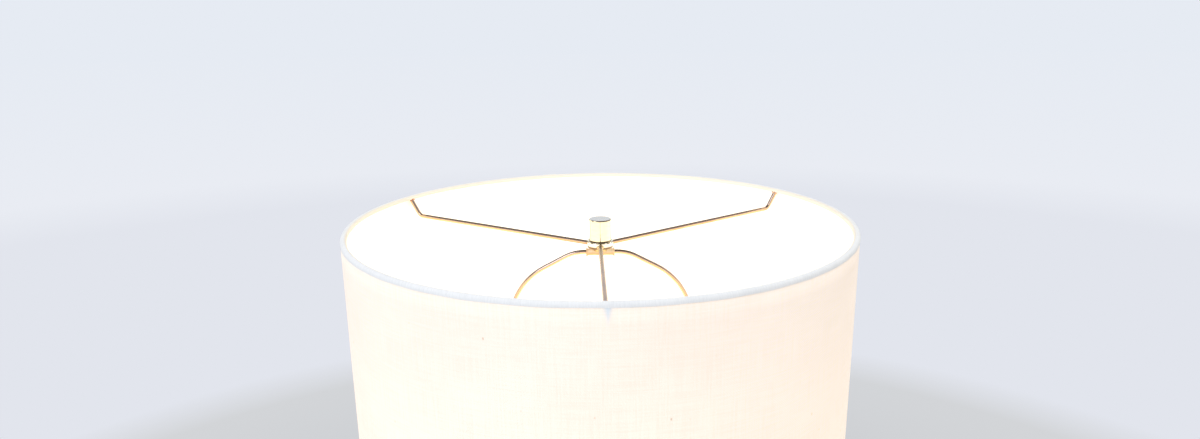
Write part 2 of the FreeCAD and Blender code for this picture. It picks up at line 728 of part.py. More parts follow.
def make_socket():
    """A brass shell over an insulating sleeve, with the contacts on a moulded interior."""
    cap = turned("socket_cap", [
        ("pipe_radius", "0"),
        ("cap_neck_radius", "0", "cap_foot_round"),
        ("cap_neck_radius", "cap_neck_height", "cap_cove"),
        ("cap_radius", "cap_flare_height", "cap_shoulder_round"),
        ("cap_radius", "cap_height"),
        (SHELL_RADIUS, "cap_height"),
        (SHELL_RADIUS, "(cap_flare_height + cap_wall / 2)", "(cap_shoulder_round - cap_wall)"),
        ("(cap_neck_radius - cap_wall)", "(cap_neck_height + cap_wall)"),
        ("pipe_radius", "(cap_neck_height + cap_wall)"),
    ])
    put(cap, up=SOCKET_BASE)
    set_screw_length = "(cap_neck_radius - pipe_radius)"
    screw = rod("cap_set_screw", "set_screw_radius", set_screw_length)
    put(screw, back="pipe_radius", up=f"({SOCKET_BASE} + set_screw_height)", roll=TO_BACK)
    keep(cut("socket_cap", cap, screw))
    keep(screw)

    passage = rod("switch_passage", "switch_hole_radius", "2 * cap_radius")
    put(passage, up=f"({SOCKET_BASE} + switch_height)", roll=TO_FRONT)
    shell = turned("socket_shell", [
        (SHELL_INSIDE, "shell_foot"),
        (SHELL_RADIUS, "shell_foot"),
        (SHELL_RADIUS, "shell_mouth", "shell_lip_round"),
        (f"({SHELL_RADIUS} - shell_lip - shell_wall)", "shell_mouth"),
        (f"({SHELL_RADIUS} - shell_lip - shell_wall)", "(shell_mouth - shell_wall)"),
        (SHELL_INSIDE, "(shell_mouth - shell_wall)", "(shell_lip_round - shell_wall)"),
    ])
    keep(cut("socket_shell", put(shell, up=SOCKET_BASE), passage))
    insulator_top = "(shell_mouth - 2 * shell_wall)"
    insulator = turned("socket_insulator", [
        (INSULATOR_INSIDE, "shell_foot"),
        (SHELL_INSIDE, "shell_foot"),
        (SHELL_INSIDE, insulator_top),
        (INSULATOR_INSIDE, insulator_top),
    ])
    keep(cut("socket_insulator", put(insulator, up=SOCKET_BASE), passage))

    interior = padded("socket_interior", "interior_height", circles=[("0", "0", INTERIOR_RADIUS)])
    put(interior, up=f"({SOCKET_BASE} + interior_foot)")
    cuts = []
    screws = []
    for side, sign in TERMINAL_SIDES.items():
        flat = block(f"terminal_flat_{side}", "interior_height", "2 * cap_radius", "interior_height")
        start = "interior_flat" if sign > 0 else "(0 - interior_flat - interior_height)"
        cuts.append(put(flat, start, "(0 - cap_radius)", f"({SOCKET_BASE} + interior_foot)"))
        head = rod(f"terminal_screw_{side}", "terminal_radius", "terminal_height")
        middle = f"({SOCKET_BASE} + interior_foot + interior_height / 2)"
        screws.append(put(head, f"{sign} * interior_flat", up=middle, pitch=90 * sign))
    bore = rod("switch_bore", "(switch_shaft_radius + running_clearance)", "cap_radius")
    bore_start = "(switch_bore_gap - switch_shaft_start)"
    cuts.append(put(bore, back=bore_start, up=f"({SOCKET_BASE} + switch_height)", roll=TO_FRONT))
    keep(cut("socket_interior", interior, *cuts))
    keep(group("terminal_screws", *screws))

    shell_bore = "(screw_shell_radius - screw_shell_wall)"
    screw_shell = turned("screw_shell", [
        ("screw_shell_bore", "0"),
        ("screw_shell_radius", "0", "edge_break"),
        ("screw_shell_radius", "screw_shell_height"),
        (shell_bore, "screw_shell_height"),
        (shell_bore, "screw_shell_wall"),
        ("screw_shell_bore", "screw_shell_wall"),
    ])
    contact = turned("centre_contact", [
        ("0", "0"),
        ("contact_radius", "0"),
        ("contact_radius", "contact_height", "contact_dome"),
        ("0", "contact_height"),
    ])
    for piece in (screw_shell, contact):
        keep(put(piece, up=f"({SOCKET_BASE} + {SCREW_SHELL_FOOT})"))


def make_switch():
    """A turning shaft out of the front of the socket, and its fluted knob."""
    shaft = turned("switch_shaft", [
        ("0", "switch_shaft_start"),
        ("switch_shaft_radius", "switch_shaft_start"),
        ("switch_shaft_radius", "switch_shaft_end"),
        ("0", "switch_shaft_end"),
    ])
    knob_end = "(knob_start + knob_length)"
    knob = turned("switch_knob", [
        ("switch_shaft_radius", "knob_start"),
        ("knob_radius", "knob_start", "knob_foot_round"),
        ("knob_radius", knob_end, "knob_front_round"),
        ("0", knob_end),
        ("0", "switch_shaft_end"),
        ("switch_shaft_radius", "switch_shaft_end"),
    ])
    flute_plan = new_sketch(knob, "switch_knob_flute_plan", "XY_Plane")
    add_circle(flute_plan, "(knob_radius + knob_flute_radius / 2)", "0", "knob_flute_radius")
    flute = knob.newObject("PartDesign::Pocket", "switch_knob_flute")
    flute.Profile = flute_plan
    flute.Reversed = True
    flute.Type = "ThroughAll"
    flutes = knob.newObject("PartDesign::PolarPattern", "switch_knob_flutes")
    flutes.Originals = [flute]
    flutes.Axis = (flute_plan, ["N_Axis"])
    flutes.Angle = 360
    flutes.setExpression("Occurrences", bound("knob_flutes"))
    knob.Tip = flutes
    for piece in (shaft, knob):
        keep(put(piece, up=f"({SOCKET_BASE} + switch_height)", roll=TO_FRONT))


# ---------------------------------------------------------------- bulb


def globe_outline():
    """List the corners of the glass: the outside upwards, then the inside down."""
    foot = "(bulb_cap_bore - glass_fit)"
    shoulder = "(globe_height - globe_dome)"
    crown_round = "(globe_radius - globe_flat)"
    outside = [
        (foot, "globe_foot"),
        (foot, "bulb_cap_top", "glass_foot_round"),
        ("globe_neck_radius", "globe_neck_top", "glass_neck_round"),
        ("globe_radius", shoulder, "globe_side_round"),
        ("globe_radius", "globe_height", crown_round),
        ("0", "globe_height"),
    ]
    inside = [
        ("0", "(globe_height - glass_wall)"),
        ("(globe_radius - glass_wall)", "(globe_height - glass_wall)", f"({crown_round} - glass_wall)"),
        ("(globe_radius - glass_wall)", shoulder, "globe_side_round"),
        ("(globe_neck_radius - glass_wall)", "globe_neck_top", "glass_neck_round"),
        (f"({foot} - glass_wall)", "bulb_cap_top", "glass_foot_round"),
        (f"({foot} - glass_wall)", "globe_foot"),
    ]
    return outside + inside


def make_bulb():
    """A frosted bulb: glass, stem and filament in a threaded cap with an insulated tip."""
    keep(put(turned("bulb_globe", globe_outline()), up=BULB_BASE))

    turned_in = "(bulb_insulator_top - bulb_cap_lip)"
    root = "(bulb_cap_radius - bulb_thread_depth)"
    cap_outline = [
        ("bulb_cap_bore", "bulb_insulator_top"),
        ("bulb_insulator_radius", "bulb_insulator_top"),
        ("bulb_insulator_radius", turned_in),
        (root, turned_in, "bulb_cap_lip / 2"),
        (root, "bulb_thread_start"),
    ]
    for turn in range(BULB_THREADS):
        crest = f"(bulb_thread_start + ({turn} + 0.5) * bulb_thread_pitch)"
        valley = f"(bulb_thread_start + ({turn} + 1) * bulb_thread_pitch)"
        cap_outline.append(("bulb_cap_radius", crest, "bulb_thread_round"))
        cap_outline.append((root, valley, "bulb_thread_round"))
    cap_outline[-1] = (root, valley)
    cap_outline.append((root, "bulb_cap_top"))
    cap_outline.append(("bulb_cap_bore", "bulb_cap_top"))
    keep(put(turned("bulb_cap", cap_outline), up=BULB_BASE))

    tip_top = "(bulb_tip_height + turning_gap)"
    insulator = turned("bulb_insulator", [
        ("0", tip_top),
        ("bulb_insulator_foot_radius", tip_top),
        ("bulb_insulator_radius", turned_in),
        ("bulb_insulator_radius", "bulb_insulator_top"),
        ("0", "bulb_insulator_top"),
    ])
    keep(put(insulator, up=BULB_BASE))
    tip = turned("bulb_tip", [
        ("0", "0"),
        ("bulb_tip_radius", "0", "bulb_tip_round"),
        ("bulb_tip_radius", "bulb_tip_height"),
        ("0", "bulb_tip_height"),
    ])
    keep(put(tip, up=BULB_BASE))

    stem_foot_radius = "(bulb_cap_bore - glass_fit - glass_wall - stem_fit)"
    stem = turned("bulb_stem", [
        ("0", "globe_foot"),
        (stem_foot_radius, "globe_foot"),
        (stem_foot_radius, "(globe_foot + stem_flare)"),
        ("stem_waist_radius", "(globe_foot + stem_waist_height)"),
        ("stem_pinch_radius", "(stem_height - stem_pinch_height)"),
        ("stem_end_radius", "stem_height"),
        ("0", "stem_height"),
    ])
    keep(put(stem, up=BULB_BASE))
    filament_foot = "(globe_foot + filament_start)"
    foot_spread = "(stem_waist_radius + filament_wire_radius)"
    rise = f"(filament_height - {filament_foot})"
    filament = bent_wire("bulb_filament", "filament_wire_radius", [
        (f"(0 - {foot_spread})", "0"),
        (f"(0 - {foot_spread})", f"({rise} / 3)", "filament_lead_round"),
        ("(0 - filament_half_width)", rise, "filament_corner_round"),
        ("filament_half_width", rise, "filament_corner_round"),
        (foot_spread, f"({rise} / 3)", "filament_lead_round"),
        (foot_spread, "0"),
    ])
    keep(put(filament, up=f"({BULB_BASE} + {filament_foot})"))


# ---------------------------------------------------------------- pipe, neck and nut


def washer(name, bore, radius, thickness, edge="fine_edge"):
    """Turn a flat ring with broken edges."""
    return turned(name, [(bore, "0"), (radius, "0", edge), (radius, thickness, edge), (bore, thickness)])


def make_stack():
    """The threaded pipe through the whole stack, and what it clamps."""
    pipe_bottom = "(hub_bottom - pipe_tail)"
    pipe = turned("lamp_pipe", [
        ("pipe_bore_radius", pipe_bottom),
        ("pipe_radius", pipe_bottom),
        ("pipe_radius", f"({SOCKET_BASE} + pipe_head)"),
        ("pipe_bore_radius", f"({SOCKET_BASE} + pipe_head)"),
    ])
    keep(pipe)
    neck = turned("neck", [
        ("neck_bore_radius", "0"),
        ("neck_flange_radius", "0", "neck_flange_foot_round"),
        ("neck_flange_radius", "neck_flange_height", "neck_flange_round"),
        ("(neck_radius + neck_foot)", "neck_foot_height", "neck_foot_round"),
        ("neck_radius", "neck_cove_height", "neck_cove_round"),
        ("neck_radius", "(neck_length - neck_head_height)", "neck_foot_round"),
        ("(neck_radius + neck_head)", "(neck_length - neck_head_lip)", "neck_head_round"),
        ("(neck_radius + neck_head)", "neck_length"),
        ("neck_bore_radius", "neck_length"),
    ])
    keep(put(neck, up=HUB_TOP))
    check_ring = washer("check_ring", PIPE_HOLE, "check_ring_radius", "check_ring_thickness", "check_ring_round")
    keep(put(check_ring, up=f"({HUB_TOP} + neck_length)"))

    washer_bottom = "(hub_bottom - washer_thickness)"
    lock_bottom = f"({washer_bottom} - lock_washer_thickness)"
    keep(put(washer("hub_washer", PIPE_HOLE, "washer_radius", "washer_thickness"), up=washer_bottom))
    lock = washer("lock_washer", PIPE_HOLE, "lock_washer_radius", "lock_washer_thickness")
    keep(put(lock, up=lock_bottom))
    flats = [(f"nut_corner_radius * cos({60 * i})", f"nut_corner_radius * sin({60 * i})") for i in range(6)]
    nut = padded("pipe_nut", "nut_height", flats, [("0", "0", "pipe_radius")])
    keep(put(nut, up=f"({lock_bottom} - nut_height)"))
    bushing = turned("cord_bushing", [
        ("bushing_bore_radius", "(0 - bushing_flange)", "bushing_mouth_round"),
        ("bushing_flange_radius", "(0 - bushing_flange)", "bushing_round"),
        ("bushing_flange_radius", "0"),
        ("pipe_bore_radius", "0"),
        ("pipe_bore_radius", "bushing_depth"),
        ("bushing_bore_radius", "bushing_depth"),
    ])
    keep(put(bushing, up=pipe_bottom))


# ---------------------------------------------------------------- hub and legs


def make_leg(side, angle):
    """A tapered round leg in its ferrule and pad, with the bolt that holds it to the hub."""
    leg = turned(f"leg_{side}", [
        ("0", "leg_start"),
        ("leg_foot_radius", "leg_start"),
        ("leg_top_radius", LEG_LENGTH),
        ("bolt_radius", LEG_LENGTH),
        ("bolt_radius", f"({LEG_LENGTH} - bolt_in_leg)"),
        ("0", f"({LEG_LENGTH} - bolt_in_leg)"),
    ])
    keep(put_on_leg(leg, angle))
    ferrule = turned(f"ferrule_{side}", [
        ("pad_pin_radius", "ferrule_start"),
        ("(leg_foot_radius + ferrule_wall)", "ferrule_start", "ferrule_foot_round"),
        (f"({leg_radius('ferrule_end')} + ferrule_wall)", "ferrule_end", "edge_break"),
        (leg_radius("ferrule_end"), "ferrule_end"),
        ("leg_foot_radius", "leg_start"),
        ("pad_pin_radius", "leg_start"),
    ])
    keep(put_on_leg(ferrule, angle))
    pad_radius = "(leg_foot_radius + ferrule_wall - pad_inset)"
    pad = turned(f"foot_pad_{side}", [
        ("0", "(0 - ferrule_start)"),
        (pad_radius, "(0 - ferrule_start)"),
        (pad_radius, "ferrule_start", "ferrule_foot_round"),
        ("pad_pin_radius", "ferrule_start"),
        ("pad_pin_radius", "leg_start"),
        ("0", "leg_start"),
    ])
    floor = block(f"floor_under_{side}", "2 * shade_radius", "2 * shade_radius", "floor_slab")
    put(floor, "(0 - shade_radius)", "(0 - shade_radius)", "(0 - floor_slab)")
    keep(cut(f"foot_pad_{side}", put_on_leg(pad, angle), floor))
    bolt = turned(f"leg_bolt_{side}", [
        ("0", f"({LEG_LENGTH} - bolt_in_leg)"),
        ("bolt_radius", f"({LEG_LENGTH} - bolt_in_leg)"),
        ("bolt_radius", f"({LEG_LENGTH} + bolt_in_hub)"),
        ("0", f"({LEG_LENGTH} + bolt_in_hub)"),
    ])
    socket = put_on_leg(rod(f"leg_socket_{side}", "(leg_top_radius + leg_fit)", LEG_LENGTH), angle)
    return put_on_leg(bolt, angle), socket


def make_base():
    """Three legs, and the domed hub that they are bolted into."""
    bolts = []
    tools = []
    for side, angle in ARM_ANGLES.items():
        bolt, socket = make_leg(side, angle)
        bolts.append(bolt)
        tools += [bolt, socket]
    hub = turned("hub", [
        (PIPE_HOLE, "0"),
        ("hub_radius", "0", "hub_foot_round"),
        ("hub_radius", "hub_band", "hub_band_round"),
        ("hub_shoulder_radius", "hub_shoulder_height", "hub_dome_round"),
        ("(neck_flange_radius + hub_step)", "(hub_height - hub_step_height)", "hub_step_cove"),
        ("(neck_flange_radius + hub_step)", "hub_height", "hub_step_round"),
        (PIPE_HOLE, "hub_height"),
    ])
    keep(cut("hub", put(hub, up="hub_bottom"), *tools))
    keep(group("leg_bolts", *bolts))


def check_and_write():
    """Stop at a failed object or shape, then write each piece to its own file."""
    for item in document.Objects:
        faults = [state for state in item.State if "Invalid" in state or "Error" in state]
        if faults:
            raise RuntimeError(f"{item.Label} failed: {faults}")
    for name, piece in pieces.items():
        if piece.Shape.isNull() or not piece.Shape.isValid() or piece.Shape.Volume <= 0:
            raise RuntimeError(f"{name} has no valid shape")
    os.makedirs("parts", exist_ok=True)
    for name, piece in pieces.items():
        piece.Shape.exportStep(f"parts/{name}.step")


make_shade()
make_spider()
make_finial()
make_harp()
make_saddle()
make_socket()
make_switch()
make_bulb()
make_stack()
make_base()
document.recompute()
check_and_write()
print(len(pieces), "pieces")
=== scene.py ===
"""The finished look of a lit table lamp: linen drum shade, brass spider and harp, three wooden legs."""
import json
import math

import bpy
from mathutils import Matrix, Vector, noise


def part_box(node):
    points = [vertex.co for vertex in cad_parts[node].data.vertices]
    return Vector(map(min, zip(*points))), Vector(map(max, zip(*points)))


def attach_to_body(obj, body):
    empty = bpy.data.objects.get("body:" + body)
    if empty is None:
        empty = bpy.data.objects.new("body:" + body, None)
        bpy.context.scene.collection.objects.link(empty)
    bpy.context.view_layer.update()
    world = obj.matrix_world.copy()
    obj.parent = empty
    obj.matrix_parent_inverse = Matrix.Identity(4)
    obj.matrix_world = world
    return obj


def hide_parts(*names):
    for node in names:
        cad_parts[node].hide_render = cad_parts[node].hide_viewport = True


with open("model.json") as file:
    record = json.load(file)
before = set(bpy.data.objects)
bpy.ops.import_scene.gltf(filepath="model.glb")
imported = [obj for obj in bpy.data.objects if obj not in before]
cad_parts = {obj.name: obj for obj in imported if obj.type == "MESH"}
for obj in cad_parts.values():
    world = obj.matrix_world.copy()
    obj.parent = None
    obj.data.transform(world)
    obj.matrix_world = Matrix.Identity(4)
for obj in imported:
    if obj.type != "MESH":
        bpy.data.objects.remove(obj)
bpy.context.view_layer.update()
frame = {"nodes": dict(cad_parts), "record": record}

# ---------------------------------------------------------------- sizes, in metres

MM = 0.001
HALF = math.tau / 2
THIRD = math.tau / 3
QUARTER = math.tau / 4

RIM_LOW, RIM_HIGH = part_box("top_trim")
HEM_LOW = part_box("bottom_trim")[0]
CLOTH_LOW, CLOTH_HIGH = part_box("shade_fabric")
SPIDER_LOW, SPIDER_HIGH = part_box("spider_hub")
FINIAL_LOW, FINIAL_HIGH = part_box("finial")
GLOBE_LOW, GLOBE_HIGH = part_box("bulb_globe")
LEG_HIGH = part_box("leg_front")[1]
END_LAYER = 0.1 * MM  # depth of the points that make a wire's end


def from_axis(point):
    """Give a point's distance from the lamp's axis."""
    return math.hypot(point.x, point.y)


def points_of(node):
    return [vertex.co for vertex in frame["nodes"][node].data.vertices]


def bore_of(node):
    """Give the distance from the lamp's axis to the inside of a turned piece."""
    return min(from_axis(point) for point in points_of(node))


def end_of(node, far):
    """Give the middle of the end of a wire where a measure of its points is largest."""
    points = points_of(node)
    most = max(far(point) for point in points)
    ends = [point for point in points if far(point) > most - END_LAYER]
    return sum(ends, Vector()) / len(ends)


SHADE_RADIUS = RIM_HIGH.x
DRUM_SIDES = 288
BULB_MIDDLE = (GLOBE_LOW.z + GLOBE_HIGH.z) / 2
SIDES = ("front", "right", "left")
SIDE_ANGLES = [step * THIRD - QUARTER for step in range(3)]  # of the legs, and nearly of the spider's arms

CLOTH_RADIUS = CLOTH_HIGH.x
CLOTH_THICKNESS = CLOTH_RADIUS - bore_of("shade_fabric")
CLOTH_RINGS = 24
CLOTH_RIPPLE = 0.12 * MM
THREAD_PITCH = 0.62 * MM
THREAD_WANDER = 1.2 * MM
SEAM_ANGLE = math.radians(97)  # glued seam of the cloth, at the back
SEAM_WIDTH = 10 * MM
SEAM_STEP = 0.3 * MM  # where the cloth lies double
SEAM_EDGE = (-0.3 * MM, 0.2 * MM)  # distances past the seam's edge over which the double cloth ends
FOLD_WIDTH = 0.8 * MM  # of the painted shade along each edge of the seam

TAPE_THICKNESS = 0.45 * MM
TAPE_RIB = 0.55 * MM
TAPE_EDGE = 0.12 * MM  # rounding of the tape's cut edges
TAPE_INSET = 0.10 * MM  # from the shade's full radius, on the average
TAPE_PUCKER = 0.22 * MM
TAPE_RUMPLE = 0.08 * MM
JOIN_ANGLE = math.radians(104)  # where the tape's ends overlap
JOIN_WIDTH = 12 * MM
JOIN_STEP = 0.25 * MM
ROLL_WIDTH = SHADE_RADIUS - bore_of("top_trim")
ROLL_VERTICES = 24  # of the whole circle, of which one half is kept
ROLL_SINK = 0.82  # of half the roll's width: how far its middle lies inside the edge
ROLL_PRESS = 0.995  # of the roll's height: what is left when it is pressed a little flat
ROLL_LEVEL = 0.1 * MM  # how near a point counts as level with the roll's middle
TAIL_STEPS = 3

BEAD_UNEVENNESS = 0.35
HUB_BEAD = (1.3, 2.4, 1.9)  # half sizes in millimetres: out, aside and up
RING_BEAD = (1.5, 2.7, 1.2)

LEG_FOOT_OUT = 150 * MM  # from the lamp's axis to a foot
LEG_SEAT_OUT = 20 * MM  # from the lamp's axis to a leg's top

# ---------------------------------------------------------------- camera

EYE_FROM_RIM = Vector((-9.44, -483.5, 118.0)) * MM
LOOK_ASIDE = math.radians(1.12)
LOOK_DOWN = math.radians(13.901)
TILT = math.radians(0.628)
LENS = 22.36
SENSOR = 36.0
NEAREST = 10 * MM


def add_camera():
    """Stand the camera where the photograph was taken, close over the rim."""
    ahead = Vector((
        math.sin(LOOK_ASIDE) * math.cos(LOOK_DOWN),
        math.cos(LOOK_ASIDE) * math.cos(LOOK_DOWN),
        -math.sin(LOOK_DOWN),
    ))
    level = Vector((math.cos(LOOK_ASIDE), -math.sin(LOOK_ASIDE), 0))
    below = ahead.cross(level)
    right = level * math.cos(TILT) + below * math.sin(TILT)
    down = below * math.cos(TILT) - level * math.sin(TILT)
    lens = bpy.data.cameras.new("camera")
    lens.lens = LENS
    lens.sensor_width = SENSOR
    lens.clip_start = NEAREST
    camera = bpy.data.objects.new("camera", lens)
    bpy.context.scene.collection.objects.link(camera)
    turn = Matrix((right, -down, -ahead)).transposed().to_4x4()
    eye = Vector((0, 0, RIM_HIGH.z)) + EYE_FROM_RIM
    camera.matrix_world = Matrix.Translation(eye) @ turn
    bpy.context.scene.camera = camera


# ---------------------------------------------------------------- finishes

CLOTH_GLOW_REACH = 150 * MM  # up and down from the bulb's middle
LINER_GLOW_REACH = 170 * MM
GLOBE_GLOW_START = 12 * MM  # above the globe's foot
GLOBE_GLOW_FULL = 45 * MM
ARM_SHADOW_HEIGHT = 12 * MM
ARM_SHADOW_HALF = 3.4 * MM  # half its width
FINIAL_SHADOW = 0.8 * MM  # height of the dark foot
HUB_SHADOW = 1.7 * MM

# Where a polished piece changes its tone, from the first of two places to the second
TOP_FACE = (0.14 * MM, 0.04 * MM)  # under its top, from the side to the painted reflection on the face
DARK_EDGE = (0.85 * MM, 0.7 * MM)  # under its top, from the side to the painted dark reflection along the edge
FOOT_EDGE = (0.04 * MM, 0.12 * MM)  # over its foot, into the foot's shadow


def colour(name):
    """Read a colour written as six hexadecimal digits."""
    steps = [int(name[place:place + 2], 16) / 255 for place in (0, 2, 4)]
    linear = [step / 12.92 if step <= 0.04045 else ((step + 0.055) / 1.055) ** 2.4 for step in steps]
    return (*linear, 1)


class Value:
    """A number that runs through a finish: arithmetic on it adds Math nodes."""

    def __init__(self, finish, socket):
        self.finish = finish
        self.socket = socket

    def worked(self, operation, *terms):
        return self.finish.node("ShaderNodeMath", {"operation": operation}, dict(enumerate(terms)))

    def __add__(self, other):
        return self.worked("ADD", self, other)

    def __sub__(self, other):
        return self.worked("SUBTRACT", self, other)

    def __rsub__(self, other):
        return self.worked("SUBTRACT", other, self)

    def __mul__(self, other):
        return self.worked("MULTIPLY", self, other)

    def __truediv__(self, other):
        return self.worked("DIVIDE", self, other)

    def __rtruediv__(self, other):
        return self.worked("DIVIDE", other, self)

    __radd__ = __add__
    __rmul__ = __mul__

    def size(self):
        return self.worked("ABSOLUTE", self)

    def sine(self):
        return self.worked("SINE", self)

    def larger(self, other):
        return self.worked("MAXIMUM", self, other)

    def folded(self, width):
        """Run up from 0 to a width and back down, again and again."""
        return self.worked("PINGPONG", self, width)

    def between(self, low, high):
        """Run smoothly from 0 at low to 1 at high."""
        settings = {"interpolation_type": "SMOOTHSTEP"}
        sockets = {"Value": self, "From Min": low, "From Max": high}
        return self.finish.node("ShaderNodeMapRange", settings, sockets)


class Finish:
    """A material, or the world, under construction."""

    def __init__(self, name, tree=None):
        self.material = None
        if tree is None:
            self.material = bpy.data.materials.new(name)
            self.material.use_nodes = True
            tree = self.material.node_tree
        self.tree = tree
        self.tree.nodes.clear()

    def node(self, kind, settings=None, sockets=None, output=0):
        """Add a node, set it up, feed its sockets and give one of its outputs."""
        node = self.tree.nodes.new(kind)
        for name, setting in (settings or {}).items():
            if name == "stops":
                self.set_stops(node.color_ramp, setting)
            else:
                setattr(node, name, setting)
        for name, feed in (sockets or {}).items():
            if isinstance(feed, Value):
                self.tree.links.new(feed.socket, node.inputs[name])
            else:
                node.inputs[name].default_value = feed
        return Value(self, node.outputs[output])

    @staticmethod
    def set_stops(ramp, stops):
        while len(ramp.elements) < len(stops):
            ramp.elements.new(1.0)
        for element, (place, tone) in zip(ramp.elements, stops):
            element.position = place
            element.color = tone

    def place(self, scale=(1, 1, 1), turn=(0, 0, 0), start=(0, 0, 0), source="Object"):
        """Give the point of the surface, moved and turned into a pattern's own frame, then scaled."""
        point = self.node("ShaderNodeTexCoord", output=source)
        if turn != (0, 0, 0) or start != (0, 0, 0):
            sockets = {"Vector": point, "Location": start, "Rotation": turn}
            point = self.node("ShaderNodeMapping", {"vector_type": "TEXTURE"}, sockets)
        if scale != (1, 1, 1):
            point = self.node("ShaderNodeMapping", sockets={"Vector": point, "Scale": scale})
        return point

    def unrolled(self, across=1, up=1):
        """Give the point of the surface on its flat map, scaled."""
        return self.place((across, up, 1), source="UV")

    def along(self, point, axis):
        return self.node("ShaderNodeSeparateXYZ", sockets={"Vector": point}, output=axis)

    def length(self, point):
        settings = {"operation": "LENGTH"}
        return self.node("ShaderNodeVectorMath", settings, {0: point}, output="Value")

    def upward(self):
        """Give 1 on a surface that faces up, 0 on an upright one and -1 on one that faces down."""
        return self.along(self.node("ShaderNodeNewGeometry", output="Normal"), "Z")

    def noise(self, point, detail=2.0, roughness=0.5, distortion=0.0):
        sockets = {
            "Vector": point,
            "Scale": 1.0,
            "Detail": detail,
            "Roughness": roughness,
            "Distortion": distortion,
        }
        return self.node("ShaderNodeTexNoise", sockets=sockets, output="Fac")

    def mix(self, share, first, second):
        sockets = {0: share, 6: first, 7: second}
        return self.node("ShaderNodeMix", {"data_type": "RGBA"}, sockets, output=2)

    def ramp(self, share, stops):
        return self.node("ShaderNodeValToRGB", {"stops": stops}, {"Fac": share})

    def bump(self, height, distance, strength):
        sockets = {"Height": height, "Distance": distance, "Strength": strength}
        return self.node("ShaderNodeBump", sockets=sockets)

    def done(self, **feeds):
        """Feed the surface shader, whose sockets are named in small letters, and give the material."""
        sockets = {}
        for name, feed in feeds.items():
            sockets[name.replace("_", " ").title().replace("Ior", "IOR")] = feed
        self.show(self.node("ShaderNodeBsdfPrincipled", sockets=sockets, output="BSDF"))
        return self.material

    def show(self, shader):
        """Make a shader the surface of the material or the world."""
        kind = "ShaderNodeOutputMaterial" if self.material else "ShaderNodeOutputWorld"
        out = self.tree.nodes.new(kind)
        self.tree.links.new(shader.socket, out.inputs["Surface"])


def fade(finish, reach):
    """Give 0 at the height of the bulb's middle and 1 at a reach above or below it."""
    height = finish.along(finish.place(), "Z") - BULB_MIDDLE
    return (height / reach).size().between(0.0, 1.0)


def arm_shadow(across, up):
    """Give 1 where the end of a spider arm stands close behind the cloth and keeps the light off it."""
    front_arm = SIDE_ANGLES[0] - 2 * THIRD  # two arms back, so that no distance from it is below 0
    aside = (across - CLOTH_RADIUS * front_arm).folded(CLOTH_RADIUS * THIRD / 2)
    below = (RIM_LOW.z - up) / ARM_SHADOW_HEIGHT
    return 1 - (aside / ARM_SHADOW_HALF + below).between(0.1, 1.0)


def linen():
    """Plain woven linen with slubs and a few tan flecks, glowing with the light behind it."""
    cloth = Finish("linen")
    flat = cloth.unrolled()
    across = cloth.along(flat, "X")
    up = cloth.along(flat, "Y")
    wander = (cloth.noise(cloth.unrolled(90, 90), detail=1) - 0.5) * THREAD_WANDER
    warp = ((across + wander) * (HALF / THREAD_PITCH)).sine()
    weft = ((up + wander) * (HALF / THREAD_PITCH)).sine()
    weave = warp * weft * 0.5 + 0.5
    thick_warp = cloth.noise(cloth.unrolled(1100, 34), detail=2)
    thick_weft = cloth.noise(cloth.unrolled(38, 1250), detail=2)
    slubs = thick_warp * 0.5 + thick_weft * 0.5
    cloud = cloth.noise(cloth.unrolled(16, 22), detail=3)
    dense = slubs.between(0.38, 0.66) * 0.7 + cloud.between(0.3, 0.75) * 0.3

    cells = {"Vector": cloth.unrolled(110, 75), "Scale": 1.0}
    reach = cloth.node("ShaderNodeTexVoronoi", sockets=cells, output="Distance")
    draw = cloth.node("ShaderNodeTexVoronoi", sockets=cells, output="Color")
    fleck = (1 - reach.between(0.02, 0.085)) * cloth.along(draw, "X").between(0.70, 0.84)

    past_seam = (across - SEAM_ANGLE * CLOTH_RADIUS).size() - SEAM_WIDTH / 2
    doubled = 1 - past_seam.between(*SEAM_EDGE)
    fold_shade = 1 - past_seam.size().between(0.0, FOLD_WIDTH)

    tone = cloth.mix(dense * 0.30, colour("f3eee4"), colour("ded2c1"))
    tone = cloth.mix(fleck * 0.45, tone, colour("b08a64"))
    # painted shade along each folded edge of the seam
    tone = cloth.mix(fold_shade * 0.35, tone, colour("c9bba6"))

    glow = cloth.mix(fade(cloth, CLOTH_GLOW_REACH), colour("b9a28c"), colour("a58f7e"))
    glow = cloth.mix(dense * 0.22, glow, colour("6f5a48"))
    glow = cloth.mix(fleck * 0.4, glow, colour("5a3f28"))
    # painted shade in the glow where the cloth lies double and along the seam's folded edges
    glow = cloth.mix(doubled * 0.35 + fold_shade * 0.2, glow, colour("6a5646"))
    glow = cloth.mix(arm_shadow(across, up) * 0.9, glow, colour("0a5a80"))

    relief = weave * 0.7 + slubs * 0.6
    return cloth.done(base_color=tone, roughness=0.86, normal=cloth.bump(relief, 0.10 * MM, 0.5),
                      emission_color=glow, emission_strength=1.0,
                      sheen_weight=0.08, specular_ior_level=0.15)


